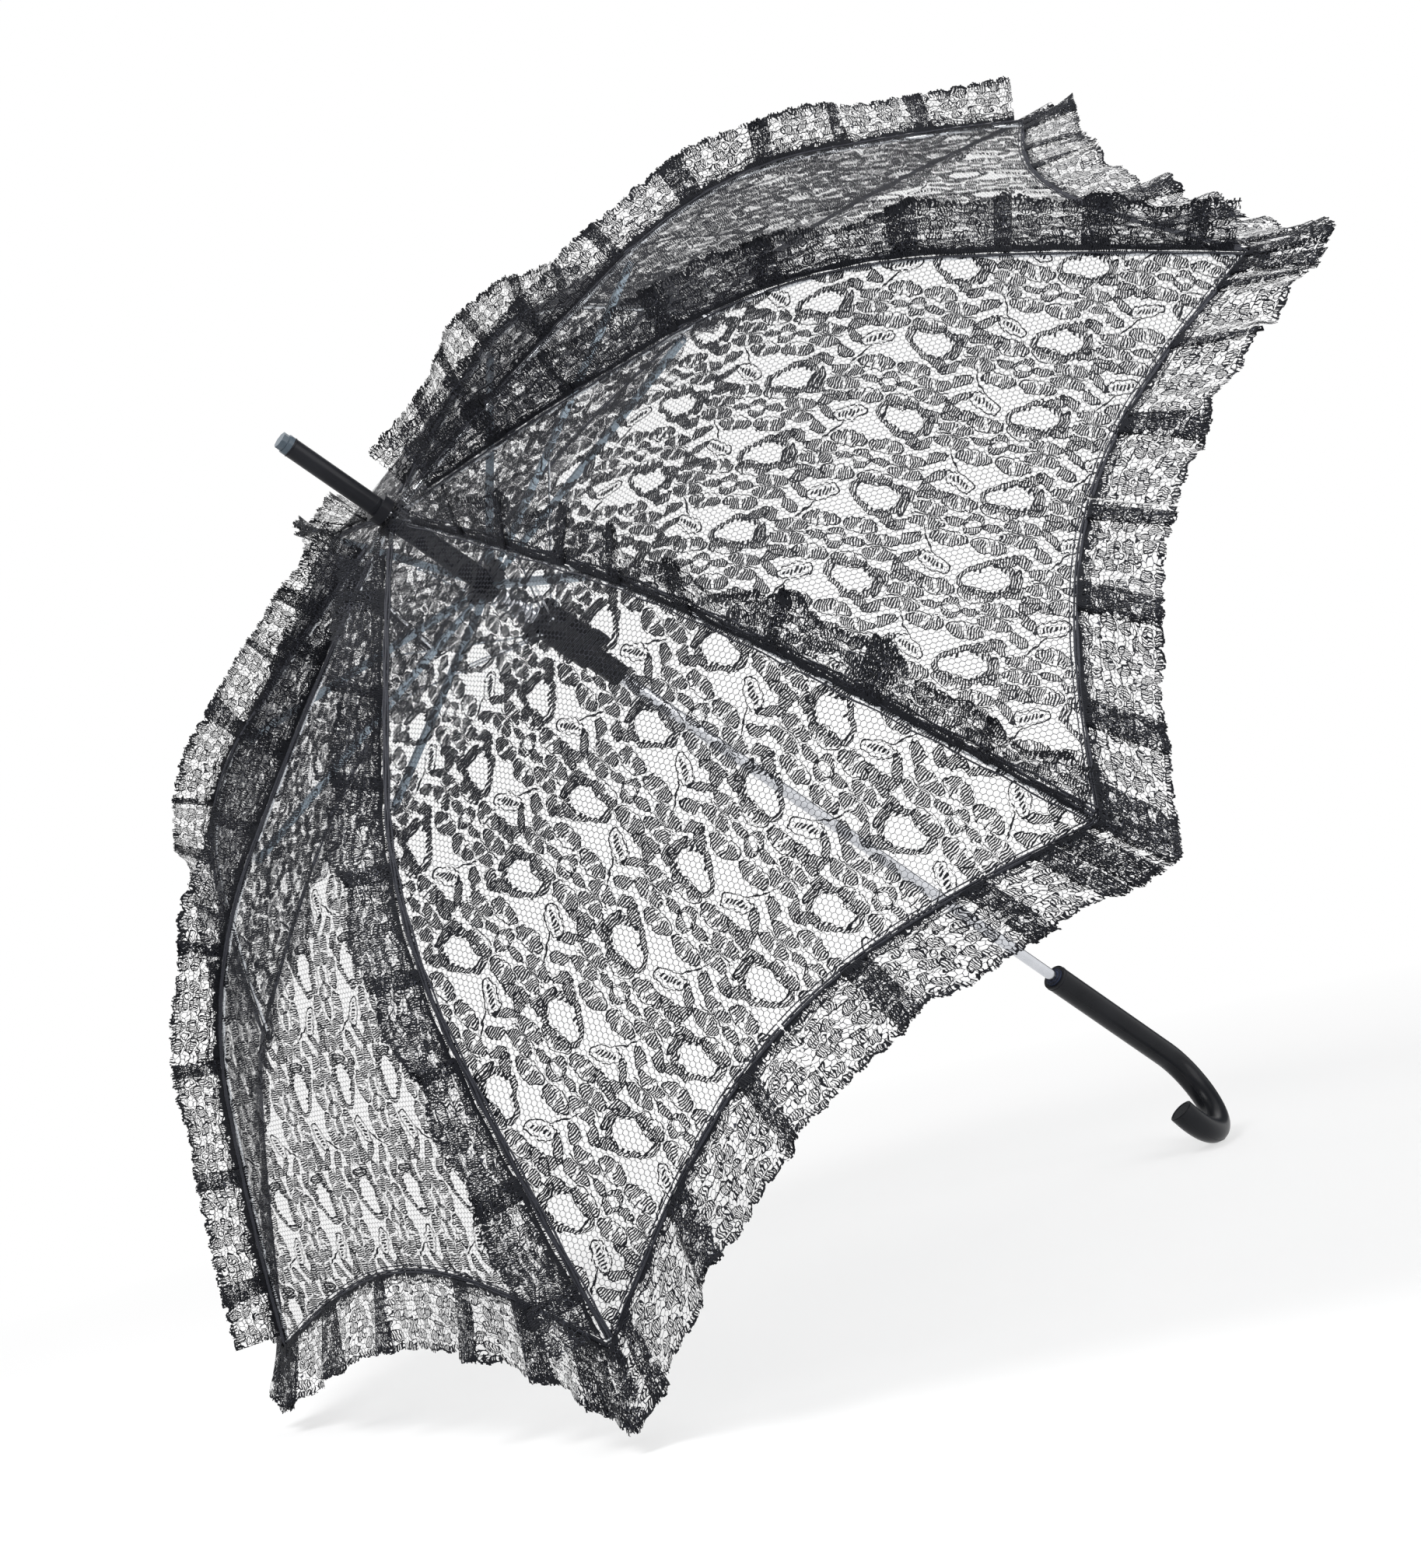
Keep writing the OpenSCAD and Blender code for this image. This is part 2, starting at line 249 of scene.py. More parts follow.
def ring(name, radius, z, thick, sides=8, steps=72):
    path = [Vector((radius * math.cos(a), radius * math.sin(a), z))
            for a in (math.tau * i / steps for i in range(steps))]
    return tube(name, path, thick, sides, closed=True)


def finish(obj, material, body):
    obj.data.materials.clear()
    obj.data.materials.append(material)
    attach(obj, body)
    return obj


# ---- Patterns: the pitch of the lace's threads, its repeats and its nets, in millimetres ----

HATCH = 1.28
REPEAT_WIDE, REPEAT_TALL = 51.5, 68.0
CANOPY_NET, CANOPY_NET_THREAD = 3.2, 0.17
RUFFLE_HATCH = 1.15
RUFFLE_WIDE, RUFFLE_TALL = 24.0, 19.0
RUFFLE_NET, RUFFLE_NET_THREAD = 2.9, 0.3
RUFFLE_SCALLOP = 11.5


# ---- Shader helpers: every Sock and Dot is worked out by nodes ----

class Sock:
    """A number. Masks are Socks of 0 or 1: both() is where two masks overlap, either() where one of them is."""

    def __init__(self, tree, socket):
        self.tree, self.socket = tree, socket

    def op(self, kind, *others):
        node = self.tree.nodes.new("ShaderNodeMath")
        node.operation = kind
        for slot_in, value in zip(node.inputs, (self, *others)):
            if isinstance(value, Sock):
                self.tree.links.new(value.socket, slot_in)
            else:
                slot_in.default_value = value
        return Sock(self.tree, node.outputs[0])

    def __add__(self, other):
        return self.op("ADD", other)

    def __sub__(self, other):
        return self.op("SUBTRACT", other)

    def __mul__(self, other):
        return self.op("MULTIPLY", other)

    def under(self, other):
        return self.op("LESS_THAN", other)

    def over(self, other):
        return self.op("GREATER_THAN", other)

    def near(self, value, width):
        return self.op("COMPARE", value, width)

    def both(self, other):
        return self.op("MINIMUM", other)

    def either(self, other):
        return self.op("MAXIMUM", other)


class Dot:
    """A position. With out=1, op() gives a Sock, else a Dot."""

    def __init__(self, tree, socket):
        self.tree, self.socket = tree, socket

    def op(self, kind, *others, out=0):
        node = self.tree.nodes.new("ShaderNodeVectorMath")
        node.operation = kind
        self.tree.links.new(self.socket, node.inputs[0])
        for slot_in, value in zip(list(node.inputs)[1:], others):
            if isinstance(value, (Sock, Dot)):
                self.tree.links.new(value.socket, slot_in)
            else:
                slot_in.default_value = value
        socket = node.outputs["Value"] if out else node.outputs[0]
        return Sock(self.tree, socket) if out else Dot(self.tree, socket)

    def minus(self, x, y):
        return self.op("SUBTRACT", (x, y, 0))

    def times(self, x, y):
        return self.op("MULTIPLY", (x, y, 1))

    def length(self):
        return self.op("LENGTH", out=1)

    def along(self, x, y):
        return self.op("DOT_PRODUCT", (x, y, 0), out=1)

    def folded(self):
        return self.op("ABSOLUTE")

    def wrapped(self, width, height):
        return self.op("WRAP", (width / 2, height / 2, 1), (-width / 2, -height / 2, -1))

    def parts(self):
        node = self.tree.nodes.new("ShaderNodeSeparateXYZ")
        self.tree.links.new(self.socket, node.inputs[0])
        return Sock(self.tree, node.outputs[0]), Sock(self.tree, node.outputs[1])

    def spun(self, degrees):
        node = self.tree.nodes.new("ShaderNodeVectorRotate")
        node.rotation_type = "Z_AXIS"
        node.inputs["Angle"].default_value = math.radians(degrees)
        self.tree.links.new(self.socket, node.inputs["Vector"])
        return Dot(self.tree, node.outputs[0])


def dot_of(tree, x, y):
    node = tree.nodes.new("ShaderNodeCombineXYZ")
    tree.links.new(x.socket, node.inputs[0])
    tree.links.new(y.socket, node.inputs[1])
    return Dot(tree, node.outputs[0])


def oval(p, x, y, half_w, half_h, lean=0):
    """1 on the edge of an oval round (x, y), less inside it. A leaning oval's top leans to +X."""
    q = p.minus(x, y)
    if lean:
        q = q.spun(lean)
    return q.times(1 / half_w, 1 / half_h).length()


def any_of(masks):
    total = masks[0]
    for m in masks[1:]:
        total = total.either(m)
    return total


def per_line(tree, y, pitch):
    """A random number from 0 to 1 for each thread, the same one all along the thread."""
    node = tree.nodes.new("ShaderNodeTexWhiteNoise")
    node.noise_dimensions = "1D"
    tree.links.new((y * (1 / pitch)).op("FLOOR").socket, node.inputs["W"])
    return Sock(tree, node.outputs["Value"])


def stripes(y, pitch, share=0.0):
    """A line a pitch; a higher share, from -1 to 1, makes it thinner."""
    return (y * (math.tau / pitch)).op("SINE").over(share)


def net_mask(tree, p, pitch, thread):
    """A net of regular hexagons, from the two lattices that their centres make."""
    tall = pitch * math.sqrt(3)
    a = p.wrapped(pitch, tall)
    b = p.minus(pitch / 2, tall / 2).wrapped(pitch, tall)
    nearer = a.length().under(b.length())
    mix = tree.nodes.new("ShaderNodeMix")
    mix.data_type = "VECTOR"
    tree.links.new(nearer.socket, mix.inputs[0])
    tree.links.new(b.socket, mix.inputs[4])
    tree.links.new(a.socket, mix.inputs[5])
    c = Dot(tree, mix.outputs[1]).folded()
    x = c.along(1, 0)
    return x.either(c.along(0.5, math.sqrt(3) / 2)).over(pitch / 2 - thread / 2)


def motif_masks(tree, p):
    """Flowers, rings and leaves in rows, every second row mirrored and moved half a repeat. Millimetres."""
    wide, tall = REPEAT_WIDE, REPEAT_TALL
    x, y = p.parts()
    row = (y * (1 / tall)).op("ROUND")
    odd = row.op("PINGPONG", 1.0)
    here_y = y - row * tall
    mirror = odd * -2.0 + 1.0
    # Every thread of the hatching ends a little differently.
    rag = per_line(tree, y, HATCH)
    ragged = x + rag * 1.3 - 0.65
    here = dot_of(tree, ragged * mirror - odd * (wide / 2), here_y).wrapped(wide, 2 * tall)
    fold = here.folded()
    ax, ay = fold.parts()
    fine = stripes(y, HATCH)
    comb = stripes(y, 2 * HATCH, 0.1)
    shapes, lines = [], []
    # The four pairs of big petals: hatched on their outer side, ragged within.
    petal = oval(fold, 10.9, 10.4, 4.7, 9.6)
    lines.append(petal.near(1.0, 0.035))
    parted = (ay - ax * 0.35 - 6.6).op("ABSOLUTE").over(0.9)
    shapes.append(petal.under(1.0).both((ax + rag * 4.0).over(10.0)).both(parted))
    # The split petals above and below.
    pair = oval(fold, 4.3, 24.6, 3.6, 9.4)
    lines.append(pair.near(1.0, 0.03))
    shapes.append(pair.under(1.0).both((ay + ax * 0.4 - 26.0).op("ABSOLUTE").over(0.8)))
    # The eye and the small petals round it.
    eye = oval(here, 0, 0, 2.3, 4.6)
    side = oval(here, 0, 0, 6.4, 5.2)
    lines += [eye.near(1.0, 0.07), side.near(1.0, 0.035)]
    shapes.append(side.under(1.0).both(eye.over(1.25)))
    bud = oval(fold, 0, 10.2, 2.3, 4.9)
    lines.append(bud.near(1.0, 0.07))
    shapes.append(bud.under(0.9))
    lines.append(ax.under(0.2).both(ay.over(14.0)))
    # The ring between two flowers: a drop with a narrow band and comb ticks inside.
    loop = here.minus(22.1, -17.5).wrapped(wide, 2 * tall)
    reach = loop.length()
    towards = loop.along(-0.32, 0.95).op("DIVIDE", reach).either(0.0).op("POWER", 6.0)
    inner = reach - towards * 8.0
    lines += [inner.near(8.8, 0.15), inner.near(11.3, 0.15)]
    brow = oval(loop, 0.5, -11.6, 6.6, 2.5)
    lines.append(brow.near(1.0, 0.1))
    shapes += [inner.near(10.1, 1.2), brow.under(1.0)]
    ticks = inner.under(8.8).both((inner + rag * 2.6).over(8.6)).both(comb)
    # The leaf below it, with a zigzag inside.
    leaf_at = here.minus(24.3, 14.6).wrapped(wide, 2 * tall)
    leaf = oval(leaf_at, 0, 0, 4.4, 9.4, 26)
    vein = oval(leaf_at, 0, 0, 1.7, 7.0, 26)
    lines.append(leaf.near(1.0, 0.045))
    ticks = ticks.either(vein.under(1.0).both(stripes(y, 1.9)))
    # Stalks, fronds and sprays between the flowers.
    stalk_at = here.minus(-22.0, 27.0).wrapped(wide, 2 * tall)
    stalk = oval(stalk_at, -5.6, 1.2, 2.3, 7.6, -40)
    twig = oval(stalk_at, 7.0, -6.6, 0.45, 7.6, 58)
    frond = oval(here, 13.0, 25.4, 3.0, 9.0, -14)
    spray = oval(fold, 16.6, 31.0, 3.2, 7.4, 26)
    lines += [stalk.near(1.0, 0.08), twig.under(1.0), frond.near(1.0, 0.06), spray.near(1.0, 0.06)]
    shapes += [stalk.under(1.0), frond.under(1.0), spray.under(1.0)]
    curl = oval(here, -18.2, -22.0, 3.0, 6.6, -30)
    lines.append(curl.near(1.0, 0.06))
    shapes.append(curl.under(1.0))
    return any_of(lines + [any_of(shapes).both(fine), ticks])


def small_masks(tree, p, edge):
    """The ruffles' lace: small flowers in bricks, a dense border and dark crease lines near the seam, painted
    for the fabric doubled in the gathers and for the shade in their folds. Millimetres.
    """
    x, y = p.parts()
    wide, tall = RUFFLE_WIDE, RUFFLE_TALL
    row = (y * (1 / tall)).op("ROUND")
    odd = row.op("PINGPONG", 1.0)
    here = dot_of(tree, x - odd * (wide / 2), y - row * tall).wrapped(wide, 2 * tall)
    fold = here.folded()
    petal = oval(fold, 5.2, 3.6, 3.9, 2.9, 18)
    crown = oval(fold, 0, 7.4, 2.3, 2.8)
    eye = oval(here, 0, 0, 1.8, 1.6)
    vine = oval(fold, 12.0, 9.5, 3.6, 2.0, -30)
    fine = stripes(x, RUFFLE_HATCH, 0.15)
    shapes = any_of([petal.under(1.0), crown.under(1.0), vine.under(1.0)])
    lines = [petal.near(1.0, 0.08), crown.near(1.0, 0.1), eye.near(1.0, 0.17), vine.near(1.0, 0.11)]
    border = (edge - y).under(0.6)
    heading = y.under(per_line(tree, x, 0.7) * 3.0 + 1.0)
    ticks = (edge - y).under(4.0).both(stripes(x, 2.1, 0.3))
    # Painted creases: black, opaque lines near the seam, for the doubled fabric of the gathers and for the
    # shade in their folds.
    wave = (x * 0.17).op("SINE") * 0.8
    crease_layers_and_shade = stripes(y + wave, 5.1, 0.96).both(y.under(30.0))
    crease_layers_and_shade = crease_layers_and_shade.either(stripes(y - wave * 1.7, 1.9, 0.6).both(y.under(6.0)))
    return any_of(lines + [shapes.both(fine), border, ticks, crease_layers_and_shade, heading])


def metric_cut(tree):
    node = tree.nodes.new("ShaderNodeUVMap")
    node.uv_map = "cut"
    return Dot(tree, node.outputs[0]).op("MULTIPLY", (1000, 1000, 0))


def wrinkle(tree, p, size, amount):
    """Moves the pattern a little, as hand-pulled lace does."""
    noise = tree.nodes.new("ShaderNodeTexNoise")
    noise.noise_dimensions = "2D"
    noise.inputs["Scale"].default_value = 1 / size
    noise.inputs["Detail"].default_value = 1.0
    tree.links.new(p.socket, noise.inputs["Vector"])
    shift = Dot(tree, noise.outputs["Color"]).op("SUBTRACT", (0.5, 0.5, 0.5))
    shift = shift.op("MULTIPLY", (amount, amount, 0))
    node = tree.nodes.new("ShaderNodeVectorMath")
    tree.links.new(p.socket, node.inputs[0])
    tree.links.new(shift.socket, node.inputs[1])
    return Dot(tree, node.outputs[0])


def new_material(name, colour, rough, metal=0.0):
    material = bpy.data.materials.new(name)
    material.use_nodes = True
    tree = material.node_tree
    shader = tree.nodes["Principled BSDF"]
    shader.inputs["Base Color"].default_value = (*colour, 1)
    shader.inputs["Roughness"].default_value = rough
    shader.inputs["Metallic"].default_value = metal
    return material, tree, shader


def colour_between(tree, share, low, high):
    node = tree.nodes.new("ShaderNodeMix")
    node.data_type = "RGBA"
    tree.links.new(share.socket, node.inputs[0])
    node.inputs[6].default_value = (*low, 1)
    node.inputs[7].default_value = (*high, 1)
    return node.outputs[2]


NET_GREY = (0.045, 0.048, 0.062)
THREAD_BLACK = (0.006, 0.007, 0.011)


def thread_finish(tree, shader, mask, shown, ribs):
    """Black threads where mask is 1, grey net where only shown is 1, and nothing elsewhere."""
    tree.links.new(colour_between(tree, mask, NET_GREY, THREAD_BLACK), shader.inputs["Base Color"])
    tree.links.new(shown.socket, shader.inputs["Alpha"])
    bump = tree.nodes.new("ShaderNodeBump")
    bump.inputs["Strength"].default_value = 0.5
    bump.inputs["Distance"].default_value = 0.0003
    tree.links.new(ribs.op("SINE").socket, bump.inputs["Height"])
    tree.links.new(bump.outputs[0], shader.inputs["Normal"])
    tree.links.new((mask * 0.12 + 0.5).socket, shader.inputs["Roughness"])
    shader.inputs["Sheen Weight"].default_value = 0.03
    shader.inputs["Specular IOR Level"].default_value = 0.22
    shader.inputs["Sheen Roughness"].default_value = 0.4


def canopy_lace():
    material, tree, shader = new_material("canopy_lace", THREAD_BLACK, 0.55)
    cut = metric_cut(tree)
    p = wrinkle(tree, wrinkle(tree, cut, 30.0, 2.4), 6.5, 2.8)
    mask = motif_masks(tree, p)
    net = net_mask(tree, cut, CANOPY_NET, CANOPY_NET_THREAD)
    thread_finish(tree, shader, mask, mask.either(net), p.along(0, math.tau / HATCH))
    return material


def ruffle_lace(name, width):
    """width is the ruffle's, in metres. Its free edge is cut in scallops."""
    material, tree, shader = new_material(name, THREAD_BLACK, 0.55)
    cut = metric_cut(tree)
    x, y = cut.parts()
    scallop = (x * (math.pi / RUFFLE_SCALLOP)).op("SINE").op("ABSOLUTE").op("POWER", 0.6)
    edge = scallop * 2.4 + per_line(tree, x, 0.9) * 1.6 + (width / MM - 4.2)
    p = wrinkle(tree, wrinkle(tree, cut, 24.0, 5.0), 5.0, 3.6)
    mask = small_masks(tree, p, edge)
    net = net_mask(tree, p, RUFFLE_NET, RUFFLE_NET_THREAD)
    shown = mask.either(net).both(y.under(edge))
    thread_finish(tree, shader, mask, shown, p.along(math.tau / RUFFLE_HATCH, 0))
    return material


def noise_of(tree, scale, detail):
    where = tree.nodes.new("ShaderNodeTexCoord")
    noise = tree.nodes.new("ShaderNodeTexNoise")
    noise.inputs["Scale"].default_value = scale
    noise.inputs["Detail"].default_value = detail
    tree.links.new(where.outputs["Object"], noise.inputs["Vector"])
    return Sock(tree, noise.outputs["Fac"])


def bumped(tree, shader, height, strength, distance):
    bump = tree.nodes.new("ShaderNodeBump")
    bump.inputs["Strength"].default_value = strength
    bump.inputs["Distance"].default_value = distance
    tree.links.new(height.socket, bump.inputs["Height"])
    tree.links.new(bump.outputs[0], shader.inputs["Normal"])


def plastic(name, colour, worn, rough, grain):
    """Moulded plastic: a fine orange-peel, uneven gloss and slightly paler rubbed patches."""
    material, tree, shader = new_material(name, colour, rough)
    patches = noise_of(tree, 45, 4)
    tree.links.new(colour_between(tree, patches, colour, worn), shader.inputs["Base Color"])
    tree.links.new((patches * 0.22 + (rough - 0.11)).socket, shader.inputs["Roughness"])
    bumped(tree, shader, noise_of(tree, grain, 2), 0.25, 0.0002)
    shader.inputs["Specular IOR Level"].default_value = 0.13
    return material


def metal(name, colour, dull, rough, stretch):
    """Drawn or plated metal: faint lines, long on the axis where stretch is least, and specks of tarnish."""
    material, tree, shader = new_material(name, colour, rough, 1.0)
    where = tree.nodes.new("ShaderNodeTexCoord")
    lines = tree.nodes.new("ShaderNodeTexNoise")
    lines.inputs["Scale"].default_value = 900
    tree.links.new(Dot(tree, where.outputs["Object"]).op("MULTIPLY", stretch).socket, lines.inputs["Vector"])
    drawn = Sock(tree, lines.outputs["Fac"])
    tarnish = noise_of(tree, 60, 5)
    tree.links.new(colour_between(tree, tarnish, colour, dull), shader.inputs["Base Color"])
    tree.links.new((drawn * 0.18 + tarnish * 0.12 + (rough - 0.12)).socket, shader.inputs["Roughness"])
    bumped(tree, shader, drawn, 0.12, 0.0001)
    return material


def seam_thread():
    material, tree, shader = new_material("seam_thread", (0.01, 0.011, 0.016), 0.75)
    twist = noise_of(tree, 900, 2)
    tree.links.new(colour_between(tree, twist, (0.006, 0.007, 0.011), (0.045, 0.048, 0.065)),
                   shader.inputs["Base Color"])
    bumped(tree, shader, twist, 0.8, 0.0006)
    return material


CHROME = metal("chrome", (0.8, 0.81, 0.84), (0.5, 0.52, 0.56), 0.14, (1, 1, 0.02))
WIRE = metal("steel_wire", (0.78, 0.8, 0.83), (0.5, 0.53, 0.57), 0.24, (0.1, 0.1, 0.1))
CHANNEL = metal("channel_steel", (0.42, 0.5, 0.57), (0.28, 0.35, 0.41), 0.34, (0.1, 0.1, 0.1))
SPRING = metal("spring_steel", (0.72, 0.74, 0.77), (0.45, 0.48, 0.52), 0.2, (0.1, 0.1, 1))
BLACK = plastic("black_plastic", (0.009, 0.0095, 0.012), (0.02, 0.021, 0.026), 0.32, 700)
HANDLE = plastic("handle_plastic", (0.007, 0.0075, 0.009), (0.017, 0.018, 0.021), 0.3, 420)
BUTTON = plastic("button_plastic", (0.02, 0.021, 0.025), (0.035, 0.037, 0.042), 0.45, 600)
CAP = plastic("cap_plastic", (0.05, 0.07, 0.09), (0.12, 0.15, 0.18), 0.2, 300)
COLLAR = plastic("collar_plastic", (0.02, 0.026, 0.05), (0.05, 0.06, 0.1), 0.18, 500)
WHITE = plastic("white_plastic", (0.72, 0.74, 0.76), (0.55, 0.57, 0.6), 0.4, 500)
LACE = canopy_lace()
HEM_LACE = ruffle_lace("hem_lace", HEM_RUFFLE)
RIB_LACE = ruffle_lace("rib_lace", RIB_RUFFLE)
SEAM = seam_thread()

CAD_LOOK = {"shaft": CHROME, "ferrule": BLACK, "ferrule_cap": CAP, "crown_washer": BLACK, "top_notch": BLACK,
            "notch_wire": WIRE, "upper_slider": BLACK, "runner": BLACK, "release_button": BUTTON,
            "handle": HANDLE, "handle_collar": COLLAR}
SET_LOOK = {"rib": WIRE, "tip": BLACK, "stretcher": CHANNEL, "tie": WIRE}


def paint_cad():
    look = dict(CAD_LOOK)
    for k in range(1, RIBS + 1):
        look.update({f"{part}_{k}": material for part, material in SET_LOOK.items()})
    for name, material in look.items():
        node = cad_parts[name]
        node.data.materials.clear()
        node.data.materials.append(material)


# ---- The canopy's lace ----

# The front gore's flowers stand this far beside its middle line and from the crown.
FLOWER_X = 4 * MM
FLOWER_RUN = 410 * MM
FRONT_GORE = 5
TURNED_GORES = (1, 3, 6)


def gore_shift(gore):
    """Each gore is cut from the roll at its own place; some are cut the other way up."""
    if gore == FRONT_GORE:
        return 0.0, 0.0, 1
    rng = random.Random(40 + gore)
    return 40 * MM * rng.random(), 50 * MM * rng.random(), -1 if gore in TURNED_GORES else 1


def gore_uv(k, u, w, side):
    """Flat coordinates in the gore that the point belongs to, measured from the gore's middle."""
    radius = line_point(max(u, 0)).x * math.cos(HALF)
    gore = (k - 1) % RIBS if side > 0 else (k - 2) % RIBS
    x = math.tan((w - side) * HALF) * radius
    dx, dy, way = gore_shift(gore)
    return (x - FLOWER_X + dx, way * (line_length(u) - FLOWER_RUN) + dy)


def make_panel(k):
    """One rib's share of the lace, as thick as its threads, so that it looks denser seen edge-on."""
    rows, cols = 56, 41
    n = rows * cols
    points, cut = [], {}
    for off in (LACE_OFF + THREAD_DEPTH / 2, LACE_OFF - THREAD_DEPTH / 2):
        for i in range(rows):
            for j in range(cols):
                w = -1 + 2 * j / (cols - 1)
                u = LACE_START + i / (rows - 1) * (hem_u(w) - LACE_START)
                points.append(spun(k) @ lace_point(u, w, off))
                for side in (-1, 1):
                    cut[len(points) - 1, side] = gore_uv(k, u, w, side)
    top = grid_faces(rows, cols)
    faces = top + [tuple(v + n for v in reversed(f)) for f in top]
    edge = list(range(cols)) + [i * cols + cols - 1 for i in range(1, rows)]
    edge += [(rows - 1) * cols + j for j in range(cols - 2, -1, -1)]
    edge += [i * cols for i in range(rows - 2, 0, -1)]
    faces += [(b, a, a + n, b + n) for a, b in zip(edge, edge[1:] + edge[:1])]
    middle = (cols - 1) / 2
    uvs = []
    for face in faces:
        side = 1 if sum(v % cols for v in face) / 4 > middle else -1
        uvs.append([cut[v, side] for v in face])
    obj = piece(f"lace_{k}", points, faces, uvs, smooth=False)
    obj.data.polygons.foreach_set("use_smooth", [i < 2 * len(top) for i in range(len(faces))])
    finish(obj, LACE, f"rib_{k}")
    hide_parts(f"panel_{k}")
    return obj


# ---- Ruffles: a strip in folded pleats, gathered on a seam ----

FOLD_STEPS = 6
STRAIGHT_STEP = 3.5 * MM
CROWDED_PITCH = 16 * MM


def pleated_path(length, pitch, pleat, rise, rng, crowd=None):
    """Points (along, off, flat) of a strip's seam edge: it goes on, doubles back in a fold and goes on again.

    The folds are bunched round the place called crowd.
    """
    points, flat, at = [(0.0, 0.0, 0.0)], 0.0, 0.0
    while at < length - 0.2 * pitch:
        go = pitch * (0.75 + 0.5 * rng.random())
        if crowd and at < crowd + 20 * MM:
            go = max(min(go, crowd - 25 * MM - at), CROWDED_PITCH)
        go = min(go, length - at)
        steps = max(6, int(go / STRAIGHT_STEP))
        for i in range(1, steps + 1):
            s = i / steps
            sway = 0.6 * MM * math.sin(math.tau * 2.3 * s + at * 40)
            lead = max(0, 1 - s * 4)
            off = 2 * rise * lead if at > 0 else 0
            points.append((at + s * go, off + sway * s, flat + s * go))
        at, flat = at + go, flat + go
        back = pleat * (0.6 + 0.8 * rng.random())
        if at + back * 0.2 >= length or at < back:
            continue
        fold = [back * i / FOLD_STEPS for i in range(1, FOLD_STEPS + 1)]
        points += [(at - step, rise, flat + step) for step in fold]
        flat += back
        points += [(at - back + step, 2 * rise, flat + step) for step in fold]
        flat += back
    if at < length:
        flat += length - at
        points.append((length, 0.0, flat))
    return points, flat


def strip(name, path, place, width, rows=8):
    """A ruffle: place(along, off, v) gives a point, v from 0 at the seam to 1 at the free edge."""
    points = [place(along, off, v / (rows - 1)) for v in range(rows) for along, off, _ in path]
    faces = grid_faces(rows, len(path))
    flat = [[(path[j][2], width * i / (rows - 1)) for j in range(len(path))] for i in range(rows)]
    uvs = [[flat[i][j], flat[i][j + 1], flat[i + 1][j + 1], flat[i + 1][j]]
           for i in range(rows - 1) for j in range(len(path) - 1)]
    return piece(name, points, faces, uvs)


def hem_points(count=120):
    """The hem of one rib's share, from one mid-gore to the next, with its running length."""
    pts = [lace_point(hem_u(w), w) for w in (-1 + 2 * i / count for i in range(count + 1))]
    runs = [0.0]
    for a, b in zip(pts, pts[1:]):
        runs.append(runs[-1] + (b - a).length)
    return pts, runs


def at_run(runs, along):
    along = max(0.0, min(along, runs[-1]))
    for i in range(len(runs) - 1):
        if runs[i + 1] >= along:
            share = (along - runs[i]) / max(runs[i + 1] - runs[i], 1e-9)
            return i, share
    return len(runs) - 2, 1.0


def make_hem_ruffle(k):
    rng = random.Random(500 + k)
    pts, runs = hem_points()
    path, flat = pleated_path(runs[-1], 56 * MM, 14 * MM, 1.0 * MM, rng, runs[-1] / 2)
    slope = math.radians(36)
    calm_run = 30 * MM
    phase = rng.random() * math.tau

    def place(along, off, v):
        i, share = at_run(runs, along)
        p = pts[i].lerp(pts[i + 1], share)
        f = math.atan2(p.y, p.x)
        calm = max(0.0, min(1.0, min(along, runs[-1] - along) / calm_run))
        sway = 4.5 * MM * math.sin(along * 150 + phase) + 2.5 * MM * math.sin(along * 61 + 2 * phase)
        sway *= v * v * calm
        lift = off * (1 + 1.6 * v) + sway + 0.4 * MM
        run = v * HEM_RUFFLE * (1 + 0.02 * math.sin(along * 90 + phase))
        out = run * math.cos(slope) + lift * math.sin(slope)
        up = -run * math.sin(slope) + lift * math.cos(slope)
        return spun(k) @ Vector((p.x + out * math.cos(f), p.y + out * math.sin(f), p.z + up))

    obj = strip(f"hem_ruffle_{k}", path, place, HEM_RUFFLE)
    finish(obj, HEM_LACE, f"rib_{k}")
    return obj, flat


# How far each rib's ruffle leans over, in radians, towards the next rib.
RUFFLE_LEAN = [0.25, -0.3, 0.35, -0.2, -0.25, -0.5, 0.75, 0.3]


def make_rib_ruffle(k):
    rng = random.Random(900 + k)
    start, stop, steps = 0.12, 2.9, 200
    rise = 0.9 * MM
    us = [start + (stop - start) * i / steps for i in range(steps + 1)]
    runs = [line_length(u) - line_length(start) for u in us]
    path, flat = pleated_path(runs[-1], 60 * MM, 11.5 * MM, rise, rng)
    phase = rng.random() * math.tau
    lean = RUFFLE_LEAN[k - 1]

    def place(along, off, v):
        i, share = at_run(runs, along)
        u = us[i] + share * (us[i + 1] - us[i])
        foot = profile(u, LACE_OFF + rise)
        slope = slope_at(u)
        sway = 3.2 * MM * math.sin(along * 118 + phase) + 1.8 * MM * math.sin(along * 47 + 3 * phase)
        height = v * RIB_RUFFLE * (1 + 0.03 * math.sin(along * 77 + phase))
        tilt = lean + 0.3 * math.sin(along * 31 + 2 * phase)
        p = foot + height * math.cos(tilt) * outward(slope)
        side = (off - rise) * (1 + 1.3 * v) + sway * v * v + math.sin(tilt) * height
        return spun(k) @ Vector((p.x, side, p.y))

    obj = strip(f"rib_ruffle_{k}", path, place, RIB_RUFFLE)
    finish(obj, RIB_LACE, f"rib_{k}")
    return obj, flat


# ---- Seams: lines of thread on the lace ----

# Each line's distance from the rib or the hem, and its radius.
RIB_SEAMS = ((2.7 * MM, 0.95 * MM), (1.1 * MM, 0.75 * MM), (4.7 * MM, 0.6 * MM), (-3.0 * MM, 0.5 * MM))
HEM_SEAMS = ((0.4 * MM, 0.8 * MM), (2.0 * MM, 0.6 * MM), (4.4 * MM, 0.35 * MM))
SEAM_OFF = LACE_OFF + 0.3 * MM
RIB_SEAM_STEPS, HEM_SEAM_STEPS = 159, 89


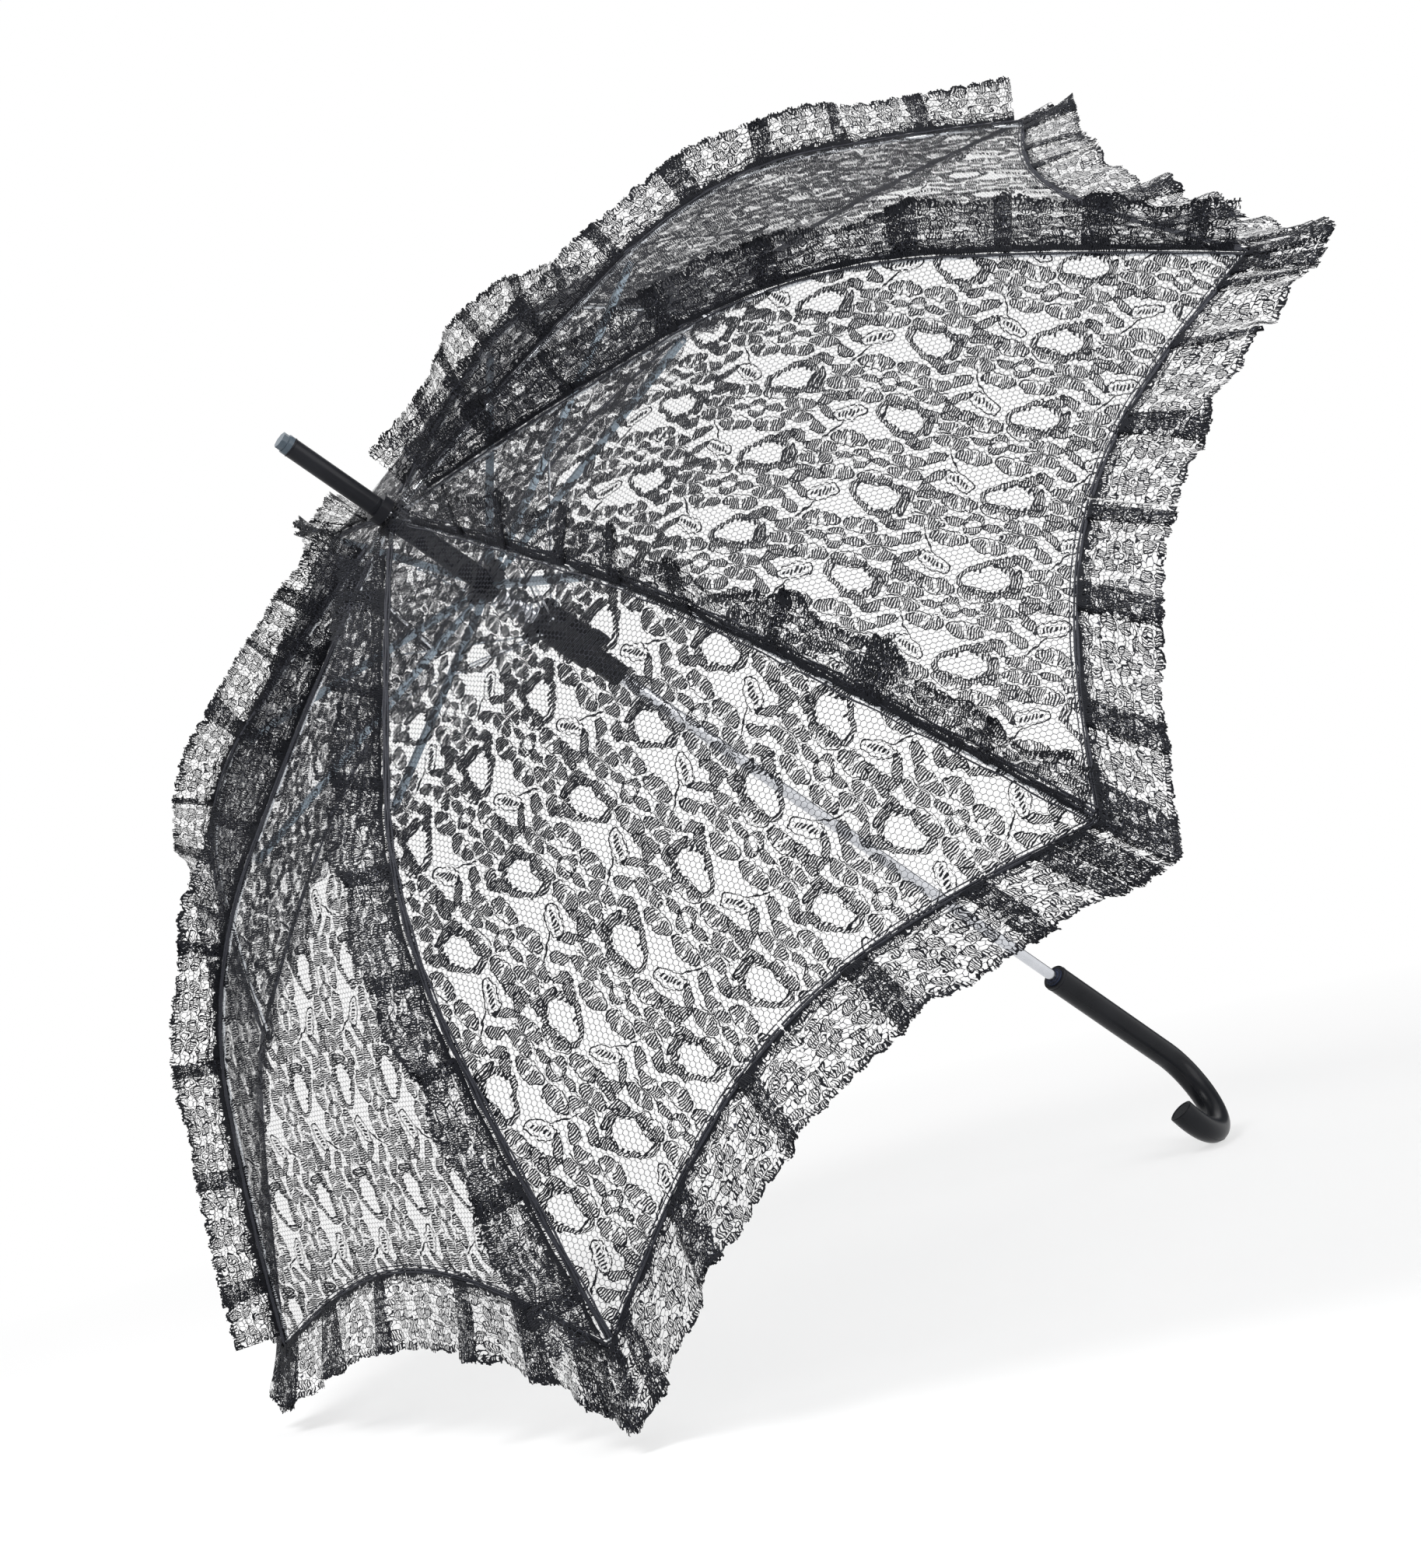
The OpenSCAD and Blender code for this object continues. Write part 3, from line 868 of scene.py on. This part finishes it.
def make_rib_seam(k, which, side_off, radius):
    """A dense line of sewing beside the rib, on the lace."""
    rng = random.Random(30 * k + which)
    path = []
    for i in range(RIB_SEAM_STEPS + 1):
        u = 0.1 + (HEM_STOP - 0.13) * i / RIB_SEAM_STEPS
        p = profile(u, SEAM_OFF)
        wander = 0.45 * MM * math.sin(u * 31 + k + 2 * which) + 0.25 * MM * (rng.random() - 0.5)
        drop = abs(side_off) * 0.05
        path.append(spun(k) @ Vector((p.x, side_off + wander, p.y - drop)))
    obj = tube(f"rib_seam_{k}_{which}", path, radius, 6, wobble=0.35, seed=k)
    return finish(obj, SEAM, f"rib_{k}")


def make_hem_seam(k, which, inset, radius):
    """A line of sewing along one share of the hem."""
    rng = random.Random(70 * k + which)
    path = []
    for i in range(HEM_SEAM_STEPS + 1):
        w = -0.995 + 1.99 * i / HEM_SEAM_STEPS
        u = hem_u(w) - inset / ARC_L[2]
        wander = 0.35 * MM * (rng.random() - 0.5)
        path.append(spun(k) @ lace_point(u, w, SEAM_OFF + wander))
    obj = tube(f"hem_seam_{k}_{which}", path, radius, 6, wobble=0.4, seed=k + 9)
    return finish(obj, SEAM, f"rib_{k}")


# ---- Hard details that the CAD leaves out ----

def make_spring():
    low, high = node_box("spring")
    wire_r = 0.8 * MM
    coil_r = high.x - wire_r
    turns, per_turn = 6, 40
    n = turns * per_turn
    rise = (high.z - low.z - 2 * wire_r) / n
    path = []
    for i in range(n + 1):
        a = math.tau * i / per_turn
        path.append(Vector((coil_r * math.cos(a), coil_r * math.sin(a), low.z + wire_r + i * rise)))
    obj = tube("spring_coil", path, wire_r, 12)
    finish(obj, SPRING, "upper_slider")
    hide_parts("spring")
    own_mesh(obj)


def make_binding_rings():
    """The wire rings that the links turn on, in the flanges' slots."""
    binding_wire_r = 0.45 * MM
    for name, body, z in (("slider_binding", "upper_slider", SLIDER_PIVOT_Z),
                          ("runner_binding", "runner", RUNNER_PIVOT_Z)):
        finish(ring(name, PIVOT_R, z, binding_wire_r), WIRE, body)


# The body, the node, its end (0 low, 1 high), then the ring's height from that end, radius and thickness in
# millimetres.
MOULDINGS = (
    ("runner", "runner", 1, -8.7, 9.8, 0.35),
    ("runner", "runner", 1, -12.1, 9.8, 0.3),
    ("runner", "runner", 0, 1.4, 7.5, 0.35),
    ("runner", "runner", 0, 7.0, 7.5, 0.25),
    ("upper_slider", "upper_slider", 1, -4.5, 7.0, 0.3),
    ("upper_slider", "upper_slider", 0, 16.5, 7.0, 0.35),
    ("root", "handle_collar", 1, -0.05, 5.5, 0.3),
    ("root", "handle_collar", 1, -0.05, 6.6, 0.3),
    ("root", "handle", 1, -2.4, 9.5, 0.3),
    ("root", "ferrule", 0, 2.0, 6.0, 0.35),
    ("root", "ferrule", 1, -1.1, 6.0, 0.3),
)


def make_mouldings():
    """Ridges round the sliding parts and the ferrule, and rings in the handle's mouth."""
    for i, (body, node, end, height, radius, thick) in enumerate(MOULDINGS):
        z = node_box(node)[end].z + height * MM
        finish(ring(f"moulding_{i}", radius * MM, z, thick * MM), BLACK, body)


def make_parting_line():
    """The mould's parting line along the outer and inner sides of the hook."""
    mouth = MOUTH_Z - 1.5 * MM
    line_r = 0.28 * MM
    grip_steps, hook_steps = 20, 60
    for side, name in ((-1, "outer"), (1, "inner")):
        grip = side * HANDLE_R * HOOK_OUT
        path = [grip + UP * (mouth + (BEND_Z - mouth) * i / grip_steps) for i in range(grip_steps)]
        for i in range(hook_steps + 1):
            ray = hook_ray(0.99 * HOOK_TURN * i / hook_steps)
            path.append(HOOK_CENTRE + (HOOK_R - side * HANDLE_R) * ray)
        finish(tube(f"parting_line_{name}", path, line_r, 6), HANDLE, "root")


def make_hinge_sleeves():
    """A pale plastic sleeve on each rib, over its hinge."""
    sleeve_r = 1.62 * MM
    for k in range(1, RIBS + 1):
        path = []
        for i in range(-4, 5):
            p = line_point(1 + 0.0085 * i)
            path.append(spun(k) @ Vector((p.x, 0, p.y)))
        obj = tube(f"hinge_sleeve_{k}", path, sleeve_r, 14)
        finish(obj, WHITE, f"rib_{k}")


def make_hook_dish():
    """The rim of the shallow dish in the hook's end."""
    ray = hook_ray(HOOK_TURN)
    ahead = (math.sin(HOOK_TURN) * HOOK_OUT - math.cos(HOOK_TURN) * UP).normalized()
    side = UP.cross(HOOK_OUT).normalized()
    centre = HOOK_CENTRE + HOOK_R * ray + 0.05 * MM * ahead
    rim_r, steps = 8.2 * MM, 40
    path = [centre + rim_r * (math.cos(a) * ray + math.sin(a) * side)
            for a in (math.tau * i / steps for i in range(steps))]
    finish(tube("hook_rim", path, 0.5 * MM, 8, closed=True), HANDLE, "root")


# ---- Build ----

paint_cad()
make_spring()
make_binding_rings()
make_mouldings()
make_parting_line()
make_hook_dish()
make_hinge_sleeves()

gore_w = 2 * math.tan(HALF) * CANOPY_R * math.cos(HALF)
gore_l = line_length(HEM_STOP)
for k in range(1, RIBS + 1):
    panel = make_panel(k)
    hem, hem_flat = make_hem_ruffle(k)
    stand, stand_flat = make_rib_ruffle(k)
    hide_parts(f"trim_{k}")
    for i, (side_off, radius) in enumerate(RIB_SEAMS):
        make_rib_seam(k, i, side_off, radius)
    hem_seams = [make_hem_seam(k, i, inset, radius) for i, (inset, radius) in enumerate(HEM_SEAMS)]
    middle = spun(k) @ Vector((CANOPY_R / 2, 0, TIP_Z))
    for obj in [panel, hem] + hem_seams:
        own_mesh(obj)
    0.5 * gore_w * gore_l


# ---- Floor, light and camera ----

# The hem ruffle's free edge at a rib tip, from the tip: outward and down.
RUFFLE_REACH, RUFFLE_DROP = 34 * MM, 28 * MM
FLOOR_RIBS = (5, 6)
FLOOR_HALF = 6.0


def floor_plane():
    """The plane through two rib tips' ruffles that just touches the hook: normal, rim points, line."""
    rim = [spun(k) @ Vector((CANOPY_R + RUFFLE_REACH, 0, TIP_Z - RUFFLE_DROP)) for k in FLOOR_RIBS]
    side = (rim[1] - rim[0]).normalized()
    inward = side.cross(UP)
    inward *= -1 if inward.dot(rim[0]) > 0 else 1
    hook = [HOOK_CENTRE + HOOK_R * hook_ray(math.tau * i / 180) for i in range(180)]

    def normal_at(angle):
        return math.sin(angle) * inward + math.cos(angle) * UP

    low, high = math.radians(20), math.radians(80)
    for _ in range(40):
        angle = (low + high) / 2
        clear = min((p - rim[0]).dot(normal_at(angle)) for p in hook) - HANDLE_R
        low, high = (low, angle) if clear > 0 else (angle, high)
    return normal_at(low), rim, side


def floor_material(centre):
    """White paper: its own glow keeps it white, most of all far from the object. From below it is clear."""
    material, tree, shader = new_material("floor_pale", (0.9, 0.9, 0.9), 0.9)
    where = tree.nodes.new("ShaderNodeNewGeometry")
    far = Dot(tree, where.outputs["Position"]).op("SUBTRACT", tuple(centre)).length()
    share = (far * 0.5 + 0.3).either(0.62).both(1.0)
    glow = tree.nodes.new("ShaderNodeEmission")
    glow.inputs["Strength"].default_value = 1.0
    paper = tree.nodes.new("ShaderNodeMixShader")
    tree.links.new(share.socket, paper.inputs[0])
    tree.links.new(shader.outputs[0], paper.inputs[1])
    tree.links.new(glow.outputs[0], paper.inputs[2])
    clear = tree.nodes.new("ShaderNodeBsdfTransparent")
    both = tree.nodes.new("ShaderNodeMixShader")
    tree.links.new(where.outputs["Backfacing"], both.inputs[0])
    tree.links.new(paper.outputs[0], both.inputs[1])
    tree.links.new(clear.outputs[0], both.inputs[2])
    tree.links.new(both.outputs[0], tree.nodes["Material Output"].inputs[0])
    return material


def make_floor():
    normal, rim, side = floor_plane()
    centre = (rim[0] + rim[1]) / 4 - 0.5 * MM * normal
    centre -= (centre - rim[0]).dot(normal) * normal + 0.5 * MM * normal
    ahead = normal.cross(side)
    corners = [centre + FLOOR_HALF * (a * side + b * ahead) for a, b in ((-1, -1), (1, -1), (1, 1), (-1, 1))]
    floor = piece("floor", corners, [(0, 1, 2, 3)], smooth=False)
    if floor.data.polygons[0].normal.dot(normal) < 0:
        floor.data.flip_normals()
    floor.data.materials.append(floor_material(centre))
    return normal


def make_light(name, location, target, size, power):
    data = bpy.data.lights.new(name, "AREA")
    data.shape = "DISK"
    data.size = size
    data.energy = power
    obj = bpy.data.objects.new(name, data)
    bpy.context.scene.collection.objects.link(obj)
    obj.location = location
    obj.rotation_mode = "QUATERNION"
    obj.rotation_quaternion = (target - location).to_track_quat("-Z", "Y")


def make_world(right):
    """White behind the object, and light and grey panels all round for the metal to reflect."""
    world = bpy.data.worlds.new("studio")
    world.use_nodes = True
    bpy.context.scene.world = world
    tree = world.node_tree
    where = tree.nodes.new("ShaderNodeTexCoord")
    slant = Dot(tree, where.outputs["Generated"]).op("DOT_PRODUCT", tuple(right), out=1)
    panels = ((slant * 9.0).op("SINE") * 1.4 + 0.75).either(0.0).both(1.0)
    path = tree.nodes.new("ShaderNodeLightPath")
    shown = panels.either(Sock(tree, path.outputs["Is Camera Ray"]))
    back = tree.nodes["Background"]
    tree.links.new(colour_between(tree, shown, (0.04, 0.045, 0.055), (1, 1, 1)), back.inputs["Color"])
    back.inputs["Strength"].default_value = 1.0


# The viewing angle of the photograph, from a perspective fit of the stick and the rib tips.
CAMERA_AT = Vector((-0.1965, -1.2798, 1.0115))
CAMERA_AHEAD = Vector((0.1191, 0.887, -0.4461)).normalized()
CAMERA_RIGHT = Vector((-0.8524, -0.1391, -0.5041)).cross(CAMERA_AHEAD).normalized()
CAMERA_LENS = 50.6


def make_camera():
    data = bpy.data.cameras.new("camera")
    data.lens = CAMERA_LENS
    data.sensor_width = 36
    data.clip_end = 50
    camera = bpy.data.objects.new("camera", data)
    bpy.context.scene.collection.objects.link(camera)
    turn = Matrix((CAMERA_RIGHT, CAMERA_RIGHT.cross(CAMERA_AHEAD), -CAMERA_AHEAD)).transposed().to_4x4()
    camera.matrix_world = Matrix.Translation(CAMERA_AT) @ turn
    bpy.context.scene.camera = camera


floor_up = make_floor()
make_camera()
make_world(CAMERA_RIGHT)
target = Vector((0, 0, 0.4))
key_at = target + 1.6 * floor_up - 0.9 * CAMERA_RIGHT - 0.5 * CAMERA_AHEAD
fill_at = target + 0.8 * floor_up + 1.4 * CAMERA_RIGHT - 1.0 * CAMERA_AHEAD
make_light("key", key_at, target, 1.2, 40)
make_light("fill", fill_at, target, 1.4, 16)
bpy.context.scene.view_settings.view_transform = "Standard"
bpy.context.scene.cycles.transparent_max_bounces = 32
